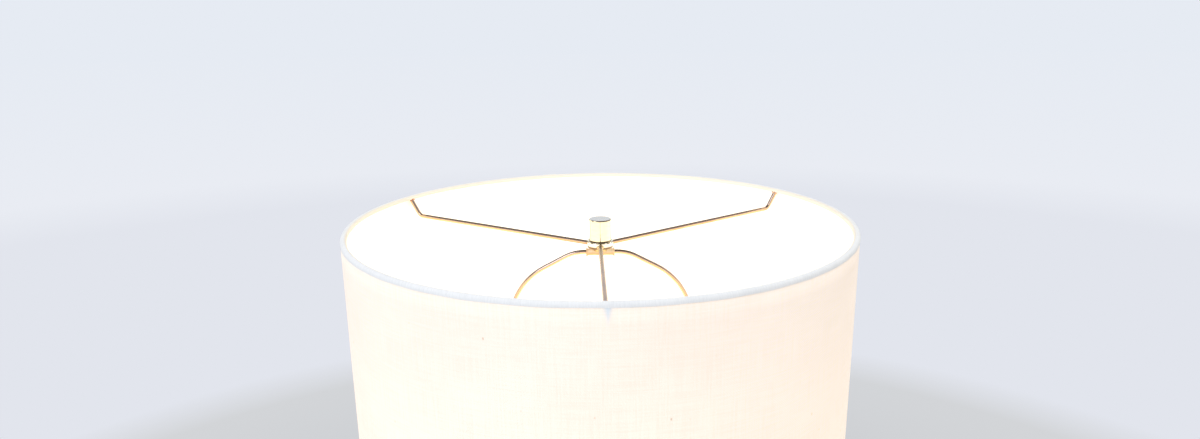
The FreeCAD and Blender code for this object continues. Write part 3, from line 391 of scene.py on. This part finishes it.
def tape():
    """White cotton tape, ribbed across its length and a little rumpled, painted creamier on its inner side
    as light from inside the shade, with a faint painted glow.
    """
    cloth = Finish("trim_tape")
    rib = (cloth.along(cloth.unrolled(), "X") * (math.tau / TAPE_RIB)).sine() * 0.5 + 0.5
    thread = cloth.noise(cloth.unrolled(1500, 260), detail=2)
    rumple = cloth.noise(cloth.unrolled(55, 150), detail=2)
    tone = cloth.mix(thread.between(0.3, 0.72) * 0.5, colour("f4f4f2"), colour("e5e6e5"))
    tone = cloth.mix(rumple.between(0.45, 0.8) * 0.3, tone, colour("dcdedf"))
    relief = rib * 0.4 + thread * 0.4 + rumple * 1.2
    radius = cloth.length(cloth.place((1, 1, 0)))
    crest = SHADE_RADIUS - ROLL_WIDTH / 2
    outside = radius.between(crest - 0.45 * ROLL_WIDTH, crest - 0.05 * ROLL_WIDTH)
    # painted light: the inner side, which faces the lit inside of the shade, is painted creamier; the glow
    # is painted light through the tape, stronger on its outer side
    tone = cloth.mix(outside, colour("fdf4e3"), tone)
    glow = cloth.mix(outside, colour("241d14"), colour("5d5c5a"))
    return cloth.done(base_color=tone, roughness=0.8, normal=cloth.bump(relief, 0.08 * MM, 0.5),
                      emission_color=glow, emission_strength=1.0,
                      sheen_weight=0.1, specular_ior_level=0.2)


def liner():
    """White translucent sheet, bright with the bulb's light."""
    sheet = Finish("shade_liner")
    cloud = sheet.noise(sheet.place((30, 30, 12)), detail=2)
    tone = sheet.mix(cloud.between(0.3, 0.7) * 0.3, colour("f4f1ea"), colour("ece6da"))
    glow = sheet.mix(fade(sheet, LINER_GLOW_REACH), colour("fff6e6"), colour("fbeed8"))
    return sheet.done(base_color=tone, roughness=0.45, normal=sheet.bump(cloud, 0.1 * MM, 0.2),
                      emission_color=glow, emission_strength=0.5)


def coated_wire():
    """White coating on steel wire, thin in places."""
    wire = Finish("ring_steel")
    specks = wire.noise(wire.place((420, 420, 420)), detail=3)
    tone = wire.mix(specks.between(0.62, 0.72), colour("eeeeea"), colour("b9b6ae"))
    return wire.done(base_color=tone, roughness=0.42, normal=wire.bump(specks, 0.05 * MM, 0.3))


def bare_metal(name, clean, dull, matt, lines=None, shine=1.0, under=None):
    """Metal with a faint bloom of tarnish, hairline scratches and, if it was turned, fine lines round it; an
    underside tone paints shade on the faces that look down.
    """
    metal = Finish(name)
    bloom = metal.noise(metal.place((38, 38, 38)), detail=4, roughness=0.6)
    hair = metal.noise(metal.place((260, 2600, 900), turn=(0.4, 0.7, 0.2)), detail=2)
    tone = metal.mix(bloom.between(0.42, 0.74), colour(clean), colour(dull))
    if under:
        # painted shade on the faces that look down
        tone = metal.mix(metal.upward().between(-0.35, 0.5), colour(under), tone)
    rough = bloom.between(0.35, 0.8) * 0.10 + hair.between(0.5, 0.8) * 0.05 + matt
    height = hair * 0.4
    if lines:
        rings = metal.noise(metal.place((20, 20, lines)), detail=2)
        height = height + rings
        rough = rough + rings.between(0.4, 0.7) * 0.05
    relief = metal.bump(height, 0.012 * MM, 0.35)
    return metal.done(base_color=tone, metallic=shine, roughness=rough, normal=relief)


def brass_wire():
    """Drawn brass wire: golden below, with a painted reflection of the dim room greying its top, which is
    also a little rougher.
    """
    metal = Finish("brass_wire")
    bloom = metal.noise(metal.place((70, 70, 70)), detail=3)
    drawn = metal.noise(metal.place((900, 900, 900)), detail=2)
    # painted reflection: faces that look up are greyed as if mirroring the dim room above, and made a little
    # rougher
    dust_and_painted_reflection = metal.upward().between(-0.35, 0.45) * (bloom.between(0.2, 0.6) * 0.2 + 0.8)
    gold = metal.mix(bloom.between(0.45, 0.7), colour("fdcd98"), colour("f6bd84"))
    tone = metal.mix(dust_and_painted_reflection, gold, colour("bda594"))
    rough = dust_and_painted_reflection * 0.08 + drawn.between(0.4, 0.8) * 0.05 + 0.1
    relief = metal.bump(drawn, 0.008 * MM, 0.3)
    return metal.done(base_color=tone, metallic=1.0, roughness=rough, normal=relief)


def bright_cap(name, side, face, low, high, shadow):
    """A polished turned piece: bright sides, a painted reflection in another tone on top, a dark painted
    reflection broken along its upper edge and a painted shadow at its foot.
    """
    metal = Finish(name)
    up = metal.along(metal.place(), "Z")
    smear = metal.noise(metal.place((160, 160, 500)), detail=3)
    top = up.between(high - TOP_FACE[0], high - TOP_FACE[1])
    dark_edge_reflection = up.between(high - DARK_EDGE[0], high - DARK_EDGE[1]) - top
    foot = up.between(low + FOOT_EDGE[0], low + FOOT_EDGE[1]) - up.between(low + shadow * 0.6, low + shadow)
    tone = metal.mix(smear.between(0.4, 0.75) * 0.25, colour(side), colour("f2e2b6"))
    # painted reflection on the top face, which is also rougher
    tone = metal.mix(top, tone, colour(face))
    broken = metal.noise(metal.place((330, 330, 60)), detail=2).between(0.42, 0.55)
    # painted reflection: a dark line, broken up, along the upper edge
    tone = metal.mix(dark_edge_reflection * broken * 0.9, tone, colour("4a3020"))
    # painted shadow at the foot
    tone = metal.mix(foot * 0.9, tone, colour("7a532b"))
    rough = smear.between(0.45, 0.8) * 0.04 + top * 0.16 + 0.05
    relief = metal.bump(smear, 0.01 * MM, 0.2)
    return metal.done(base_color=tone, metallic=1.0, roughness=rough, normal=relief)


def plated():
    """Zinc plating with its faint yellow and blue bloom."""
    metal = Finish("plated_steel")
    bloom = metal.noise(metal.place((120, 120, 120)), detail=3)
    tone = metal.ramp(bloom, [(0.3, colour("cfd0d2")), (0.5, colour("d8d5c8")), (0.7, colour("bfc4cc"))])
    relief = metal.bump(bloom, 0.02 * MM, 0.3)
    return metal.done(base_color=tone, metallic=1.0, roughness=bloom * 0.2 + 0.22, normal=relief)


def rolled_aluminium():
    """Thin aluminium, rolled into a thread."""
    metal = Finish("cap_aluminium")
    streak = metal.noise(metal.place((60, 60, 900)), detail=2)
    tone = metal.mix(streak.between(0.35, 0.7), colour("e4e5e8"), colour("c9cacd"))
    relief = metal.bump(streak, 0.02 * MM, 0.3)
    return metal.done(base_color=tone, metallic=1.0, roughness=streak * 0.2 + 0.2, normal=relief)


def walnut(side, angle, lean):
    """Oiled walnut with the grain along a leg."""
    wood = Finish(f"walnut_{side}")
    foot = (math.cos(angle) * LEG_FOOT_OUT, math.sin(angle) * LEG_FOOT_OUT, 0)
    leg_frame = {"start": foot, "turn": (0, lean, angle)}
    warp = wood.noise(wood.place((9, 9, 3.2), **leg_frame), detail=2)
    grain = wood.noise(wood.place((210, 210, 7), **leg_frame), detail=4, roughness=0.62, distortion=0.35)
    rings = wood.noise(wood.place((46, 46, 1.7), **leg_frame), detail=2, distortion=0.9)
    pores = wood.noise(wood.place((1500, 1500, 60), **leg_frame), detail=1)
    figure = grain * 0.45 + rings * 0.55 + (warp - 0.5) * 0.25
    tone = wood.ramp(figure, [
        (0.30, colour("4a2c18")),
        (0.45, colour("6b4327")),
        (0.56, colour("855734")),
        (0.70, colour("9c6b42")),
    ])
    open_pore = pores.between(0.60, 0.70)
    tone = wood.mix(open_pore * 0.55, tone, colour("35200f"))
    rough = grain * 0.18 + open_pore * 0.2 + 0.3
    relief = wood.bump(figure * 0.5 - open_pore * 0.7, 0.08 * MM, 0.5)
    return wood.done(base_color=tone, roughness=rough, normal=relief, coat_weight=0.25, coat_roughness=0.25)


def moulded(name, tone, worn, grainy, matt):
    """A moulded piece with a fine grain and paler dust in it."""
    piece = Finish(name)
    fine = piece.noise(piece.place((grainy, grainy, grainy)), detail=2)
    dust_and_painted_reflection = piece.noise(piece.place((70, 70, 70)), detail=3)
    tint = piece.mix(dust_and_painted_reflection.between(0.5, 0.8) * 0.6, colour(tone), colour(worn))
    relief = piece.bump(fine, 0.05 * MM, 0.4)
    return piece.done(base_color=tint, roughness=fine * 0.15 + matt, normal=relief)


def pressed_fibre():
    """Brown fibre board, rolled into a sleeve."""
    board = Finish("fibre_sleeve")
    fibres = board.noise(board.place((300, 300, 1400)), detail=3)
    tone = board.mix(fibres.between(0.3, 0.7), colour("c3a67e"), colour("9b7c55"))
    return board.done(base_color=tone, roughness=0.85, normal=board.bump(fibres, 0.06 * MM, 0.5))


def frosted_glass():
    """Glass with a white inside coating, lit."""
    glass = Finish("frosted_glass")
    cloud = glass.noise(glass.place((60, 60, 60)), detail=2)
    tone = glass.mix(cloud.between(0.3, 0.7), colour("fbf9f4"), colour("f1eee6"))
    up = glass.along(glass.place(), "Z")
    lit = up.between(GLOBE_LOW.z + GLOBE_GLOW_START, GLOBE_LOW.z + GLOBE_GLOW_FULL)
    glow = glass.mix(lit, colour("b8a88c"), colour("fff6e2"))
    return glass.done(base_color=tone, roughness=0.22, emission_color=glow, emission_strength=3.0,
                      normal=glass.bump(cloud, 0.05 * MM, 0.2))


def clear_glass():
    """Clear drawn glass, faintly reeded."""
    glass = Finish("clear_glass")
    reed = glass.noise(glass.place((300, 300, 20)), detail=1)
    tone = glass.mix(reed.between(0.3, 0.7), colour("f4f8f8"), colour("e9f0f0"))
    return glass.done(base_color=tone, roughness=0.06, transmission_weight=0.9, ior=1.5,
                      normal=glass.bump(reed, 0.05 * MM, 0.2))


def give(piece, material):
    piece.data.materials.clear()
    piece.data.materials.append(material)


def dress_frame():
    """Give every carried-over node its own finish, or the finish of its slot, and return the finishes."""
    finishes = {
        "linen": linen(),
        "shade_liner": liner(),
        "trim_tape": tape(),
        "ring_steel": coated_wire(),
        "polished_brass": bare_metal("polished_brass", "ebd3a0", "dcbd84", 0.12),
        "satin_brass": bare_metal("satin_brass", "e9cf94", "d0ad70", 0.26, lines=2200),
        "plated_steel": plated(),
        "black_rubber": moulded("black_rubber", "232325", "4a4a4b", 900, 0.62),
        "black_plastic": moulded("black_plastic", "1d1d1f", "333336", 1500, 0.24),
        "fibre_sleeve": pressed_fibre(),
        "frosted_glass": frosted_glass(),
        "clear_glass": clear_glass(),
        "cap_aluminium": rolled_aluminium(),
        "filament_wire": bare_metal("filament_wire", "8f8c88", "6f6c69", 0.3),
        "brazing": bare_metal("brazing", "c98458", "9c5f3c", 0.3),
    }
    wire = brass_wire()
    own = {
        "finial": bright_cap("finial_brass", "f8f4d8", "ece9e2", FINIAL_LOW.z, FINIAL_HIGH.z, FINIAL_SHADOW),
        "spider_hub": bright_cap("hub_brass", "f9f7e9", "f6f1dc", SPIDER_LOW.z, SPIDER_HIGH.z, HUB_SHADOW),
        # the clip's warmer, darker underside tone is painted shade
        "harp_clip": bare_metal("clip_brass", "f8e4c8", "eaccaa", 0.36, shine=0.5, under="e2b27e"),
        "harp_wire": wire,
    }
    lean = -math.atan2(LEG_FOOT_OUT - LEG_SEAT_OUT, LEG_HIGH.z)
    for side, angle in zip(SIDES, SIDE_ANGLES):
        own[f"spider_arm_{side}"] = wire
        own[f"leg_{side}"] = walnut(side, angle, lean)
    for part in frame["record"]["subparts"]:
        node = part["node"]
        give(frame["nodes"][node], own[node] if node in own else finishes[part["material_slot"]])
    return finishes


# ---------------------------------------------------------------- ways of modelling


def start(name):
    """Name the new primitive and open it for editing."""
    piece = bpy.context.object
    piece.name = name
    piece.data.name = name
    bpy.ops.object.mode_set(mode="EDIT")
    return piece


def clear_selection():
    if bpy.context.object and bpy.context.object.mode != "OBJECT":
        bpy.ops.object.mode_set(mode="OBJECT")
    bpy.ops.object.select_all(action="DESELECT")


def pick(piece, kind, test):
    """Select the faces, edges or vertices whose middle and corners pass a test, and nothing else."""
    bpy.ops.mesh.select_mode(type={"polygons": "FACE", "edges": "EDGE", "vertices": "VERT"}[kind])
    bpy.ops.mesh.select_all(action="DESELECT")
    bpy.ops.object.mode_set(mode="OBJECT")
    points = [piece.matrix_world @ vertex.co for vertex in piece.data.vertices]
    for item in getattr(piece.data, kind):
        corners = [points[index] for index in item.vertices] if kind != "vertices" else [points[item.index]]
        item.select = test(sum(corners, Vector()) / len(corners), corners)
    bpy.ops.object.mode_set(mode="EDIT")


def settle(piece, smooth=40):
    """Close the piece: put its place into its mesh and shade it smooth up to an angle."""
    bpy.ops.object.mode_set(mode="OBJECT")
    bpy.ops.object.select_all(action="DESELECT")
    piece.select_set(True)
    bpy.context.view_layer.objects.active = piece
    bpy.ops.object.transform_apply(location=True, rotation=True, scale=True)
    bpy.ops.object.shade_smooth_by_angle(angle=math.radians(smooth))


def modify(piece, kind, **settings):
    """Add a modifier and apply it."""
    modifier = piece.modifiers.new(kind.lower(), kind)
    for name, setting in settings.items():
        setattr(modifier, name, setting)
    bpy.context.view_layer.objects.active = piece
    bpy.ops.object.modifier_apply(modifier=modifier.name)


def angle_of(point):
    return math.atan2(point.y, point.x)


def outwards(point):
    """Give the level direction from the lamp's axis to a point."""
    return Vector((point.x, point.y, 0)).normalized()


def apart(first, second):
    """Give the angle between two directions, either way round."""
    return abs((first - second + HALF) % math.tau - HALF)


def unevenness(turn, spread, height):
    """Give noise that closes on itself round the drum, and that is finer for a larger spread."""
    return noise.noise(Vector((math.cos(turn) * spread, math.sin(turn) * spread, height)))


def overlap(piece, radius, angle, width, step):
    """Raise the strip of a piece in which one of its ends lies over the other."""
    pick(piece, "polygons", lambda middle, corners: apart(angle_of(middle), angle) * radius < width / 2)
    bpy.ops.mesh.extrude_region_move()
    bpy.ops.transform.shrink_fatten(value=step)


def unroll(piece, radius):
    """Lay the piece's map out flat: metres round the drum, metres up."""
    maps = piece.data.uv_layers
    flat = maps[0] if maps else maps.new(name="unrolled")
    for face in piece.data.polygons:
        middle = angle_of(face.center)
        for loop in face.loop_indices:
            point = piece.data.vertices[piece.data.loops[loop].vertex_index].co
            turn = middle + (angle_of(point) - middle + HALF) % math.tau - HALF
            flat.data[loop].uv = (turn * radius, point.z)


def attach(piece, body, slot, material, *nodes):
    """Give a finished piece its body and finish, and hide the nodes that it stands for."""
    give(piece, material)
    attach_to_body(piece, body)
    if nodes:
        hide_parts(*nodes)


# ---------------------------------------------------------------- shade


def make_cloth(finishes):
    """The linen drum, whose folded end is glued down over its start at the back."""
    height = CLOTH_HIGH.z - CLOTH_LOW.z
    clear_selection()
    bpy.ops.mesh.primitive_cylinder_add(
        vertices=DRUM_SIDES, radius=CLOTH_RADIUS, depth=height, end_fill_type="NOTHING",
        location=(0, 0, CLOTH_LOW.z + height / 2), rotation=(0, 0, SEAM_ANGLE))
    drum = start("linen_drum")
    pick(drum, "edges", lambda middle, ends: abs(ends[0].z - ends[1].z) > height / 2)
    bpy.ops.mesh.subdivide(number_cuts=CLOTH_RINGS - 1)
    overlap(drum, CLOTH_RADIUS, SEAM_ANGLE, SEAM_WIDTH, SEAM_STEP)
    settle(drum)
    for vertex in drum.data.vertices:
        wave = noise.noise(Vector((angle_of(vertex.co) * 5, vertex.co.z * 14, 3)))
        vertex.co += outwards(vertex.co) * wave * CLOTH_RIPPLE
    modify(drum, "SOLIDIFY", thickness=CLOTH_THICKNESS, offset=-1)
    unroll(drum, CLOTH_RADIUS)
    attach(drum, "shade", "linen", finishes["linen"], "shade_fabric")
    return drum


def make_roll(name, edge, direction, node, finishes):
    """A band of tape rolled over one wire ring, with its ends overlapped at the back."""
    half = ROLL_WIDTH / 2
    sink = half * ROLL_SINK
    level = edge - direction * sink
    tail = RIM_HIGH.z - RIM_LOW.z
    clear_selection()
    bpy.ops.mesh.primitive_circle_add(
        vertices=ROLL_VERTICES, radius=half, fill_type="NOTHING",
        location=(SHADE_RADIUS - half, 0, level), rotation=(QUARTER, 0, 0))
    band = start(name)
    pick(band, "vertices", lambda point, ends: direction * (point.z - level) < -ROLL_LEVEL)
    bpy.ops.mesh.delete(type="VERT")
    pick(band, "vertices", lambda point, ends: direction * (point.z - level) < ROLL_LEVEL)
    inwards = -direction * (tail - sink) / TAIL_STEPS
    for step in range(TAIL_STEPS):
        bpy.ops.mesh.extrude_region_move(TRANSFORM_OT_translate={"value": (0, 0, inwards)})
    bpy.ops.mesh.select_all(action="SELECT")
    bpy.ops.mesh.spin(steps=DRUM_SIDES, angle=math.tau, center=(0, 0, 0), axis=(0, 0, 1))
    bpy.ops.mesh.select_all(action="SELECT")
    bpy.ops.mesh.remove_doubles(threshold=0.01 * MM)
    bpy.ops.mesh.normals_make_consistent(inside=False)
    overlap(band, SHADE_RADIUS, JOIN_ANGLE, JOIN_WIDTH, JOIN_STEP)
    settle(band, 60)
    for vertex in band.data.vertices:
        point = vertex.co
        if direction * (point.z - edge) > -sink:
            point.z = edge - (edge - point.z) * ROLL_PRESS
        turn = angle_of(point)
        pucker = unevenness(turn, 9, edge * 40)
        rumple = unevenness(turn, 45, point.z * 300)
        share = direction * (edge - point.z) / tail
        point.z += direction * (pucker * TAPE_PUCKER + rumple * TAPE_RUMPLE) * share
        vertex.co = point + outwards(point) * (rumple - 1) * TAPE_INSET
    modify(band, "SOLIDIFY", thickness=TAPE_THICKNESS, offset=-1)
    modify(band, "BEVEL", width=TAPE_EDGE, segments=2, limit_method="ANGLE")
    unroll(band, SHADE_RADIUS)
    attach(band, "shade", "trim_tape", finishes["trim_tape"], node)
    return band


def make_beads(name, material, half_sizes, ends):
    """Small lumps of brazing, one at each given end of a wire."""
    beads = []
    for end in ends:
        clear_selection()
        bpy.ops.mesh.primitive_ico_sphere_add(
            subdivisions=3, radius=MM, location=end, rotation=(0, 0, angle_of(end)))
        bead = start(name)
        bpy.ops.mesh.select_all(action="SELECT")
        bpy.ops.transform.resize(value=half_sizes, orient_type="LOCAL")
        settle(bead, 80)
        for vertex in bead.data.vertices:
            vertex.co += (vertex.co - end) * noise.noise(vertex.co * 900) * BEAD_UNEVENNESS
        beads.append(bead)
    clear_selection()
    for bead in beads:
        bead.select_set(True)
    bpy.context.view_layer.objects.active = beads[0]
    bpy.ops.object.join()
    joined = bpy.context.object
    joined.name = name
    attach(joined, "shade", "polished_brass", material)


def make_brazing(finishes):
    """Brazing at both ends of the three arms: gold at the hub, coppery at the ring."""
    arms = [f"spider_arm_{side}" for side in SIDES]
    at_hub = [end_of(arm, lambda point: -from_axis(point)) for arm in arms]
    at_ring = [end_of(arm, lambda point: point.z) for arm in arms]
    make_beads("hub_brazing", finishes["polished_brass"], HUB_BEAD, at_hub)
    make_beads("ring_brazing", finishes["brazing"], RING_BEAD, at_ring)


def make_shade(finishes):
    cloth = make_cloth(finishes)
    rim = make_roll("rolled_rim", RIM_HIGH.z, 1, "top_trim", finishes)
    hem = make_roll("rolled_hem", HEM_LOW.z, -1, "bottom_trim", finishes)
    make_brazing(finishes)


# ---------------------------------------------------------------- room

WALL = colour("e6ebf3")
WALL_PALE = colour("e9ecf3")
WALL_MIDDLE = colour("e2e5ed")
FLOOR_TONE = colour("d3d5d8")
CEILING = colour("9ea2aa")
CEILING_DARK = colour("6e6a66")
EYE_HEIGHT = RIM_HIGH.z + EYE_FROM_RIM.z
FLOOR_RADIUS = 30
FLOOR_FADE = (0.3, 1.2)  # distances from the lamp's axis between which the floor turns into background
LIGHTS_AIM = Vector((0, 0, 0.4))


def seen_directly(finish):
    """Give 1 where a surface is seen straight on, in metal or through glass, and 0 where it only lights."""
    rays = [finish.node("ShaderNodeLightPath", output=ray)
            for ray in ("Is Camera Ray", "Is Glossy Ray", "Is Transmission Ray")]
    return rays[0].larger(rays[1]).larger(rays[2])


def add_floor():
    """A plain pale floor that keeps the lamp's shadow and runs out into the background."""
    clear_selection()
    bpy.ops.mesh.primitive_circle_add(vertices=96, radius=FLOOR_RADIUS, fill_type="NGON", location=(0, 0, 0))
    floor = start("floor")
    settle(floor)
    ground = Finish("floor")
    distance = ground.length(ground.place())
    plain = ground.node("ShaderNodeBsdfDiffuse", sockets={"Color": FLOOR_TONE})
    steepness = EYE_HEIGHT / distance
    far_tone = ground.ramp(steepness, [
        (0.0, WALL),
        (0.19, WALL_PALE),
        (0.24, WALL_MIDDLE),
        (0.57, WALL_MIDDLE),
        (0.645, FLOOR_TONE),
    ])
    far = ground.node("ShaderNodeEmission", sockets={"Color": far_tone, "Strength": 1.0})
    share = distance.between(*FLOOR_FADE) * seen_directly(ground)
    ground.show(ground.node("ShaderNodeMixShader", sockets={0: share, 1: plain, 2: far}))
    give(floor, ground.material)


def add_light(name, place, size, power, tone="ffffff"):
    """A round light that shines on the lamp's middle."""
    light = bpy.data.lights.new(name, "AREA")
    light.shape = "DISK"
    light.size = size
    light.energy = power
    light.color = colour(tone)[:3]
    holder = bpy.data.objects.new(name, light)
    bpy.context.scene.collection.objects.link(holder)
    aim = LIGHTS_AIM - Vector(place)
    holder.location = place
    holder.rotation_euler = aim.to_track_quat("-Z", "Y").to_euler()


def add_room():
    """A pale room: walls and ceiling as they are seen, an even light and two round ones."""
    world = bpy.data.worlds.new("room")
    bpy.context.scene.world = world
    world.use_nodes = True
    air = Finish("room", world.node_tree)
    up = air.along(air.node("ShaderNodeTexCoord", output="Generated"), "Z")
    walls = air.ramp(up, [(0.3, WALL), (0.65, CEILING), (1.0, CEILING_DARK)])
    shown = air.node("ShaderNodeBackground", sockets={"Color": walls, "Strength": 1.0})
    light = air.node("ShaderNodeBackground", sockets={"Color": (1, 1, 1, 1), "Strength": 0.7})
    air.show(air.node("ShaderNodeMixShader", sockets={0: seen_directly(air), 1: light, 2: shown}))
    add_light("key", place=(-1.1, -1.68, 2.1), size=1.3, power=21, tone="dce8ff")
    add_light("fill", place=(1.6, 0.9, 1.6), size=1.2, power=6)
    bpy.context.scene.view_settings.view_transform = "Standard"


# ---------------------------------------------------------------- everything together

add_camera()
finishes = dress_frame()
make_shade(finishes)
add_floor()
add_room()
